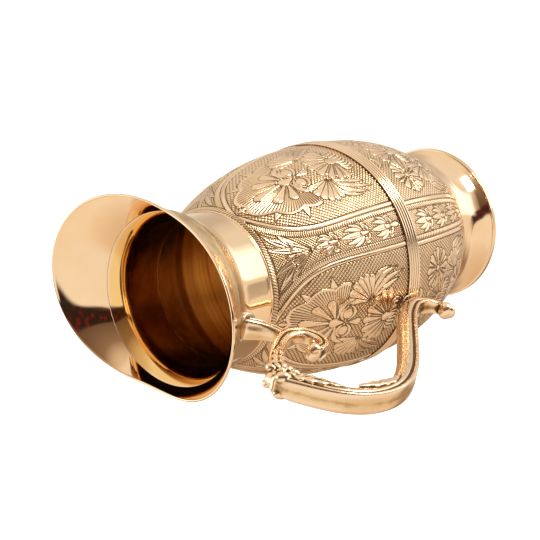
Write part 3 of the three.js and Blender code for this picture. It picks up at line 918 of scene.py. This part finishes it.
def knuckle():
    """The leafy corner between grip and scroll: round lobes on a core, with two blunt corners."""
    pieces = [
        ball(91.0, 0, 257.6, 6.6, 5.6, 5.2, 30),
        ball(87.4, 0, 260.2, 3.0, 3.8, 2.4, 20),
        ball(86.6, 0, 261.2, 1.9, 2.4, 1.6),
    ]
    for side in (-1, 1):
        pieces.append(ball(94.6, side * 4.3, 259.6, 4.2, 3.2, 3.2, 40))
        for k in range(6):
            turn = math.radians(170 + 34 * k)
            reach = 5.4 if k % 2 else 6.6
            pieces.append(ball(91 + reach * math.cos(turn), side * 4.6, 256.8 + reach * math.sin(turn),
                               3.0, 2.2, 1.9, -math.degrees(turn)))
        pieces.append(ball(90.6, side * 5.6, 256.4, 2.2, 1.7, 2.2))
        # leaf running down the grip's side, and one wrapping the scroll's back
        pieces.append(leaf([[95, side * 5.0, 255.5], [102, side * 5.7, 252], [110, side * 5.8, 246.6],
                            [118, side * 5.2, 239.5]], 3.2, 1.3))
        pieces.append(leaf([[88, side * 4.4, 255.5], [82, side * 4.8, 249], [75, side * 4.5, 240.5],
                            [69, side * 3.8, 231]], 3.0, 1.3))
    return pieces


def handle():
    """The casting: tail, grip, leafy knuckle, curled scroll and the arm to the neck."""
    pieces = [
        bar(GRIP, GRIP_SECTION),
        bar(SCROLL, SCROLL_SECTION),
        bar(ARM, ARM_SECTION),
        # the tail's hoof and the curl's rolled end with a bead beside it
        ball(84.0, 0, 103.9, 4.2, 5.0, 4.3, 20),
        ball(86.6, 0, 102.6, 2.7, 3.9, 3.0, 20),
        ball(79.4, 0, 216.4, 3.9, 5.5, 4.2),
        ball(75.0, 0, 212.6, 1.9, 4.4, 1.9),
    ]
    pieces += knuckle()
    for side in (-1, 1):
        # small leaf tip on the lower bend
        pieces.append(leaf([[121, side * 5.6, 233], [125.5, side * 6.2, 222], [126.5, side * 6.0, 212],
                            [124, side * 5.4, 203]], 2.0, 0.8))
        pieces.append(ball(113.5, side * 6.3, 245.5, 1.1, 0.9, 1.1))
    casting = joined(pieces, "cast_handle")
    fused(casting, (0.36) * MM, 4)
    trim_to_body(casting)
    store_hollows(casting, 36, 0.2 * MM)
    return casting


def trim_to_body(piece):
    """Presses the casting's ends back to the neck's and the band's outside."""
    mesh = piece.data
    points = mesh_numbers(mesh.vertices, "co", 3, np.float32)
    out = np.hypot(points[:, 0], points[:, 1])
    low_end = points[:, 2] < 150 * MM
    wall = np.where(low_end, BAND_CREST, NECK_RADIUS + 0.1 * MM)
    short = out < wall
    points[short, :2] *= (wall / out)[short, None]
    mesh.vertices.foreach_set("co", points.ravel())
    mesh.update()


def braze_ring(name, centre, radii, wall, thickness, seed):
    """An uneven bead of braze round a joint on a wall of the given radius; sizes in millimetres."""
    noise = np.random.default_rng(seed)
    count, turns = 96, 14
    angle = np.arange(count) * 2 * np.pi / count
    uneven = sum(noise.uniform(0.3, 1) * np.sin(k * angle + noise.uniform(0, 6.28)) for k in (3, 5, 8, 13))
    size = thickness * (1 + 0.2 * uneven)
    bend = (np.arange(turns) * 2 * np.pi / turns)[:, None]
    spread = size * np.cos(bend)
    out = wall + 0.75 * size * np.sin(bend)
    y = (radii[0] + spread) * np.cos(angle)
    z = centre + (radii[1] + spread) * np.sin(angle)
    x = np.sqrt(np.maximum(out ** 2 - y ** 2, 0))
    return turned(name, np.stack([x, y, z], axis=-1) * MM, closed=True)


# ---- materials --------------------------------------------------------------------------------

BRASS = (0.91, 0.62, 0.34)
PALE_BRASS = (0.95, 0.69, 0.45)
# the darkest colour in the cuts: brown patina, deepened as painted shade
PATINA_AND_SHADE = (0.1, 0.05, 0.018)
# the throat's deeper gold is a painted reflection
THROAT_REFLECTION_GOLD = (0.92, 0.58, 0.22)
# the inside's colours: painted light in copper, painted shade in dark copper and umber
COPPER = (0.99, 0.75, 0.4)
DARK_COPPER = (0.68, 0.36, 0.13)
UMBER = (0.33, 0.14, 0.045)
BRAZE_GREY = (0.5, 0.47, 0.42)
CAST_GOLD = (0.86, 0.59, 0.3)

# heights in metres over which one colour fades into the next, for the finishes and for the painted light
# and shade inside
SHADE_RING_RISE, SHADE_RING_FALL = (0.17, 0.174), (0.179, 0.185)
BELLY_FADE = (0.18, 0.186)
DEEP_FADE = (0.226, 0.232)
THROAT_FADE = (0.2395, 0.2405)
FILED_RISE, FILED_FALL = (0.2285, 0.2315), (0.245, 0.248)


class Nodes:
    """The node tree of a material or a world. Each method adds one node and gives its output."""

    def __init__(self, owner, coordinates):
        owner.use_nodes = True
        self.nodes = owner.node_tree.nodes
        self.links = owner.node_tree.links
        self.nodes.clear()
        self.place = self.add("TexCoord", coordinates, {})

    def add(self, kind, output, inputs, **settings):
        """A node with its settings, its inputs filled from other outputs, numbers or colours."""
        node = self.nodes.new("ShaderNode" + kind)
        for name, value in settings.items():
            setattr(node, name, value)
        for name, value in inputs.items():
            self.fill(node.inputs[name], value)
        return node.outputs[output]

    def fill(self, socket, value):
        if isinstance(value, bpy.types.NodeSocket):
            self.links.new(value, socket)
        elif socket.type != "RGBA":
            socket.default_value = value
        elif isinstance(value, tuple):
            socket.default_value = (*value, 1.0)
        else:
            socket.default_value = (value, value, value, 1.0)

    def noise(self, scale, detail=4.0, roughness=0.55, stretch=None):
        place = self.place
        if stretch:
            place = self.add("Mapping", "Vector", {"Vector": place, "Scale": stretch})
        return self.add("TexNoise", "Fac", {
            "Vector": place, "Scale": scale, "Detail": detail, "Roughness": roughness,
        })

    def attribute(self, name):
        return self.add("Attribute", "Fac", {}, attribute_name=name)

    def ramp(self, factor, stops):
        output = self.add("ValToRGB", "Color", {"Fac": factor})
        elements = output.node.color_ramp.elements
        while len(elements) < len(stops):
            elements.new(0.5)
        for element, (position, color) in zip(elements, stops):
            element.position = position
            element.color = (*color, 1.0)
        return output

    def spread(self, factor, low, high, out_low, out_high):
        return self.add("MapRange", "Result", {
            "Value": factor, "From Min": low, "From Max": high, "To Min": out_low, "To Max": out_high,
        })

    def math(self, operation, first, second):
        """Sums and products are kept between 0 and 1."""
        clamped = operation in ("MULTIPLY", "ADD")
        return self.add("Math", "Value", {0: first, 1: second}, operation=operation, use_clamp=clamped)

    def mix(self, factor, first, second):
        """A mix of two colours, which are the node's inputs 6 and 7 and its output 2."""
        return self.add("Mix", 2, {"Factor": factor, 6: first, 7: second}, data_type="RGBA")

    def between(self, value, rise, fall):
        """1 in the middle of a range of values, fading in and out over its two ends."""
        rising = self.spread(value, *rise, 0, 1)
        return self.math("MULTIPLY", rising, self.spread(value, *fall, 1, 0))

    def toward(self, axis):
        """How far a point lies in a direction."""
        return self.add("VectorMath", "Value", {0: self.place, 1: axis}, operation="DOT_PRODUCT")

    def height(self):
        return self.add("SeparateXYZ", "Z", {"Vector": self.place})


class Shading(Nodes):
    """A metal material."""

    def __init__(self, name, roughness):
        self.material = bpy.data.materials.new(name)
        super().__init__(self.material, "Object")
        surface = self.add("BsdfPrincipled", "BSDF", {"Metallic": 1.0, "Roughness": roughness})
        self.metal = surface.node
        output = self.nodes.new("ShaderNodeOutputMaterial")
        self.links.new(surface, output.inputs["Surface"])

    def bump(self, height, strength, distance):
        """Adds fine unevenness to what is there already."""
        bumps = {"Height": height, "Strength": strength, "Distance": distance}
        normal = self.metal.inputs["Normal"]
        if normal.is_linked:
            bumps["Normal"] = normal.links[0].from_socket
        self.links.new(self.add("Bump", "Normal", bumps), normal)

    def color(self, value):
        self.links.new(value, self.metal.inputs["Base Color"])

    def roughness(self, value):
        self.links.new(value, self.metal.inputs["Roughness"])


def bright_color(shade):
    return shade.ramp(shade.noise(22, 3), [(0.3, BRASS), (0.7, PALE_BRASS)])


def inside_light_and_shade(shade):
    """Unpolished inside, its colour painted light and shade: golden painted light in the belly, a dark
    ring of painted shade where it narrows, and painted shade in brown up the throat.
    """
    ring = shade.noise(26, 5, 0.6, (0.12, 0.12, 9))
    stain = shade.noise(30, 3, 0.6)
    lit_gold = shade.ramp(ring, [(0.34, DARK_COPPER), (0.6, COPPER)])
    brown = shade.ramp(stain, [(0.4, UMBER), (0.62, DARK_COPPER)])
    height = shade.height()
    color = shade.mix(shade.spread(height, *BELLY_FADE, 0, 1), lit_gold, brown)
    return shade.mix(shade.between(height, SHADE_RING_RISE, SHADE_RING_FALL), color, UMBER)


def add_ripples(shade):
    """The soft waves that polishing leaves."""
    shade.bump(shade.noise(28, 2, 0.4), 0.35, 0.0006)


def add_spun_rings(shade, inside, strength):
    rings = shade.noise(30, 4, 0.6, (0.2, 0.2, 14))
    shade.bump(shade.math("MULTIPLY", rings, inside), strength, 0.0006)


def polished_brass():
    """Mirror-polished spun brass: soft ripples, smears and hairlines."""
    shade = Shading("polished brass", 0.1)
    shade.color(bright_color(shade))
    smear = shade.noise(60, 6, 0.65, (1, 1, 0.4))
    shade.roughness(shade.spread(smear, 0.35, 0.75, 0.05, 0.14))
    add_ripples(shade)
    hairline = shade.noise(90, 3, 0.6, (0.35, 0.35, 9))
    shade.bump(hairline, 0.1, 0.0001)
    return shade.material


def neck_brass():
    """Polished outside and round the throat, whose deeper gold is a painted reflection, filed dull under
    the flare, and ringed inside, dark with painted shade.
    """
    shade = Shading("neck brass", 0.12)
    height = shade.height()
    inside = shade.attribute("inner")
    outside = shade.math("SUBTRACT", 1.0, inside)
    deep = shade.math("MULTIPLY", shade.spread(height, *DEEP_FADE, 1, 0), inside)
    throat = shade.math("MULTIPLY", shade.spread(height, *THROAT_FADE, 1, 0), inside)
    filed = shade.math("MULTIPLY", shade.between(height, FILED_RISE, FILED_FALL), outside)
    scratch = shade.noise(140, 5, 0.7, (1, 1, 5))
    dull = shade.ramp(scratch, [(0.3, (0.42, 0.27, 0.12)), (0.7, (0.82, 0.6, 0.33))])
    # the throat's gold is a painted reflection; the deep inside takes the inside's painted light and shade
    color = shade.mix(throat, shade.mix(filed, bright_color(shade), dull), THROAT_REFLECTION_GOLD)
    shade.color(shade.mix(deep, color, inside_light_and_shade(shade)))
    rough = shade.math("ADD", shade.spread(shade.noise(60, 6), 0.35, 0.75, 0.04, 0.11),
                       shade.math("MULTIPLY", filed, 0.24))
    shade.roughness(shade.math("ADD", rough, shade.math("MULTIPLY", deep, 0.16)))
    shade.bump(shade.math("MULTIPLY", scratch, filed), 0.6, 0.0003)
    add_spun_rings(shade, deep, 0.4)
    add_ripples(shade)
    return shade.material


def engraved_brass():
    """Satin brass on the raised work, brown patina deepened by painted shade in every cut, a painted sheen
    on one side, and dark spun metal inside, its colour painted light and shade.
    """
    shade = Shading("engraved brass", 0.3)
    cut = shade.attribute("cut")
    inside = shade.attribute("inner")
    worn = shade.noise(14, 5, 0.6)
    grime = shade.noise(120, 5, 0.65)
    # painted sheen: the cuts are painted paler on one side, as light makes them look there, and that side
    # is duller
    facing = (math.cos(SHEEN_SIDE_AZIMUTH), math.sin(SHEEN_SIDE_AZIMUTH), 0.0)
    painted_sheen = shade.spread(shade.toward(facing), 0.04, 0.06, 0, 0.37)
    shifted = shade.math("ADD", cut, shade.spread(grime, 0.3, 0.7, -0.1, 0.1))
    # the cuts are painted dark, brown patina with painted shade, and lighter where the painted sheen lies
    color = shade.ramp(shade.math("ADD", shifted, painted_sheen), [
        (0.1, PATINA_AND_SHADE), (0.4, (0.27, 0.15, 0.06)), (0.68, (0.78, 0.52, 0.28)), (0.88, PALE_BRASS),
    ])
    color = shade.mix(shade.spread(worn, 0.35, 0.7, 0, 0.25), color, BRASS)
    shade.color(shade.mix(inside, color, inside_light_and_shade(shade)))
    rough = shade.spread(cut, 0.1, 0.9, 0.45, 0.17)
    rough = shade.math("ADD", rough, shade.spread(grime, 0.3, 0.7, -0.04, 0.04))
    rough = shade.math("ADD", rough, shade.math("MULTIPLY", painted_sheen, 0.15))
    shade.roughness(shade.mix(inside, rough, 0.25))
    shade.bump(shade.noise(420, 4, 0.6), 0.25, 0.0001)
    add_spun_rings(shade, inside, 0.5)
    return shade.material


def cast_brass():
    """Hand-finished casting: polished on top, pitted, and brown in the hollows, partly grime and partly
    painted shade.
    """
    shade = Shading("cast brass", 0.24)
    hollow = shade.attribute("hollow")
    patch = shade.noise(45, 5, 0.6)
    depth = shade.math("ADD", hollow, shade.spread(patch, 0.3, 0.7, -0.09, 0.1))
    # painted shade with grime: darker and browner the deeper a hollow, palest on the crests
    shade.color(shade.ramp(depth, [
        (0.34, PALE_BRASS), (0.48, CAST_GOLD), (0.55, (0.5, 0.3, 0.13)), (0.66, (0.12, 0.07, 0.03)),
    ]))
    shade.roughness(shade.spread(depth, 0.35, 0.7, 0.2, 0.45))
    shade.bump(shade.noise(300, 6, 0.7), 0.3, 0.0003)
    shade.bump(shade.noise(90, 2, 0.4), 0.35, 0.0006)
    return shade.material


def braze_metal():
    """Raw braze: grey, lumpy and half matt, with brass showing through."""
    shade = Shading("braze", 0.4)
    patch = shade.noise(260, 4, 0.6)
    shade.color(shade.ramp(patch, [(0.4, BRAZE_GREY), (0.6, (0.66, 0.56, 0.4)), (0.72, BRASS)]))
    shade.roughness(shade.spread(patch, 0.3, 0.7, 0.5, 0.25))
    shade.bump(shade.noise(500, 4, 0.6), 0.6, 0.0003)
    return shade.material


# ---- studio -----------------------------------------------------------------------------------

CAMERA_AZIMUTH = 35.98
CAMERA_ELEVATION = 47.83
CAMERA_ROLL = -106.45
CAMERA_AIM = Vector((-0.0157, -0.0111, 0.1383))
CAMERA_DISTANCE = 1.0
LENS = 115.2


def camera_directions():
    """Right, up and back of the camera, whose roll lays the standing jug on its side."""
    azimuth, elevation = math.radians(CAMERA_AZIMUTH), math.radians(CAMERA_ELEVATION)
    roll = math.radians(CAMERA_ROLL)
    level = Vector((-math.sin(azimuth), math.cos(azimuth), 0))
    back = Vector((math.cos(elevation) * math.cos(azimuth), math.cos(elevation) * math.sin(azimuth),
                   math.sin(elevation)))
    upright = back.cross(level)
    right = level * math.cos(roll) + upright * math.sin(roll)
    up = -level * math.sin(roll) + upright * math.cos(roll)
    return right, up, back


def make_camera():
    right, up, back = camera_directions()
    data = bpy.data.cameras.new("camera")
    data.lens = LENS
    data.clip_start = 0.05
    data.clip_end = 20
    camera = new_object("camera", data)
    turn = Matrix((right, up, back)).transposed().to_4x4()
    camera.matrix_world = Matrix.Translation(CAMERA_AIM + CAMERA_DISTANCE * back) @ turn
    bpy.context.scene.camera = camera


def make_lights():
    """One small soft box, for the crisp glints on the engraving and the handle."""
    right, up, back = camera_directions()
    data = bpy.data.lights.new("key", "AREA")
    data.shape = "SQUARE"
    data.size = 0.35
    data.energy = 5
    light = new_object("key", data)
    direction = (0.75 * up + 0.55 * right + 0.35 * back).normalized()
    light.location = Vector((0, 0, 0.13)) + 1.1 * direction
    light.rotation_euler = direction.to_track_quat("Z", "Y").to_euler()


def make_world():
    """A light tent round the jug: pale sheets, one bright wall, and a dark gap between two sheets.

    A direction is told by its rise towards the sky and by how far it points back to the camera.
    """
    right, up, back = camera_directions()
    sky = (0.953 * up - 0.266 * right + 0.143 * back).normalized()
    world = bpy.data.worlds.new("studio")
    tree = Nodes(world, "Generated")

    def ramp(value, stops):
        """A ramp over -1 to 1."""
        return tree.ramp(tree.spread(value, -1, 1, 0, 1), [
            ((position + 1) / 2, color) for position, color in stops
        ])

    def light(color, strength):
        return tree.add("Background", "Background", {"Color": color, "Strength": strength})

    black, white = (0.0, 0.0, 0.0), (1.0, 1.0, 1.0)
    rise = tree.toward(sky)
    backward = tree.toward(back)
    near = ramp(rise, [
        (-1.0, (0.95, 0.93, 0.9)), (-0.04, (1.0, 0.98, 0.95)), (0.0, (0.1, 0.05, 0.03)),
        (0.3, (0.2, 0.13, 0.09)), (0.58, (0.3, 0.21, 0.14)), (0.8, (0.7, 0.58, 0.45)),
        (1.0, (0.9, 0.8, 0.68)),
    ])
    middle = ramp(rise, [
        (-1.0, (0.78, 0.62, 0.47)), (-0.55, (1.0, 0.93, 0.85)), (0.5, (0.9, 0.88, 0.84)),
        (1.0, (0.95, 0.92, 0.86)),
    ])
    far = ramp(rise, [
        (-1.0, (0.85, 0.76, 0.66)), (-0.75, (0.35, 0.24, 0.15)), (-0.5, (0.35, 0.24, 0.15)),
        (-0.3, (0.92, 0.86, 0.78)), (0.2, (0.85, 0.81, 0.76)), (0.5, (0.64, 0.6, 0.57)),
        (1.0, (0.72, 0.68, 0.63)),
    ])
    sheets = tree.mix(ramp(backward, [(-0.65, black), (-0.4, white)]), far, middle)
    sheets = tree.mix(ramp(backward, [(0.38, black), (0.55, white)]), sheets, near)
    across_gap = tree.toward(sky - 0.35 * back)
    gap = ramp(across_gap, [(-0.34, black), (-0.31, white), (-0.12, white), (-0.09, black)])
    open_side = ramp(backward, [(-0.35, black), (0.2, white)])
    clutter = tree.ramp(tree.noise(11, 3, 0.5), [(0.54, (0.03, 0.02, 0.016)), (0.62, (0.2, 0.012, 0.016))])
    sheets = tree.mix(tree.math("MULTIPLY", gap, open_side), sheets, clutter)
    wall = ramp(rise, [(-0.08, black), (-0.03, white), (0.35, white), (0.5, black)])
    sideways = ramp(backward, [(-0.5, black), (-0.35, white), (0.3, white), (0.42, black)])
    shine = ramp(tree.math("MULTIPLY", wall, sideways), [(0.0, black), (1.0, (0.75, 0.85, 1.0))])
    tent = tree.add("AddShader", "Shader", {0: light(sheets, 1.0), 1: light(shine, 1.25)})
    output = tree.nodes.new("ShaderNodeOutputWorld")
    tree.links.new(tent, output.inputs["Surface"])
    bpy.context.scene.world = world


def make_floor():
    """A white sheet that glows a little, so that only a faint shadow shows round the foot."""
    half = 6.0
    corners = [(-half, -half, 0), (half, -half, 0), (half, half, 0), (-half, half, 0)]
    mesh = bpy.data.meshes.new("floor")
    mesh.from_pydata(corners, [], [(0, 1, 2, 3)])
    material = bpy.data.materials.new("white sheet")
    material.use_nodes = True
    shader = material.node_tree.nodes["Principled BSDF"]
    shader.inputs["Base Color"].default_value = (0.9, 0.9, 0.9, 1)
    shader.inputs["Roughness"].default_value = 0.9
    shader.inputs["Specular IOR Level"].default_value = 0.0
    shader.inputs["Emission Color"].default_value = (1, 1, 1, 1)
    shader.inputs["Emission Strength"].default_value = 0.75
    mesh.materials.append(material)
    floor = new_object("floor", mesh)
    floor.visible_glossy = False
    floor.visible_shadow = False


# ---- assembly ---------------------------------------------------------------------------------

def add(piece, node, material):
    piece.data.materials.clear()
    piece.data.materials.append(material)
    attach(piece, "root")
    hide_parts(node)


def build_jug():
    polished = polished_brass()
    engraved = engraved_brass()
    add(upper_shell(), "upper_shell", engraved)
    add(lower_shell(), "lower_shell", engraved)
    spout = neck_brass()
    add(mouth(), "mouth", spout)
    add(neck(), "neck", spout)
    add(foot_ring(), "foot_ring", polished)
    add(base_plate(), "base_plate", polished)
    cast = cast_brass()
    add(waist_band(), "waist_band", engraved)
    add(handle(), "handle", cast)
    braze = braze_metal()
    upper = braze_ring("upper_braze", 228.0, (7.2, 6.4), NECK_RADIUS / MM + 0.7, 1.2, 3)
    lower = braze_ring("lower_braze", 117.6, (4.4, 4.6), BAND_HIGH[0] / MM, 0.5, 5)
    add(upper, "handle_braze_upper", braze)
    add(lower, "handle_braze_lower", braze)


make_camera()
make_world()
make_lights()
make_floor()
build_jug()

bpy.context.scene.view_settings.view_transform = "Standard"
bpy.context.scene.view_settings.look = "None"
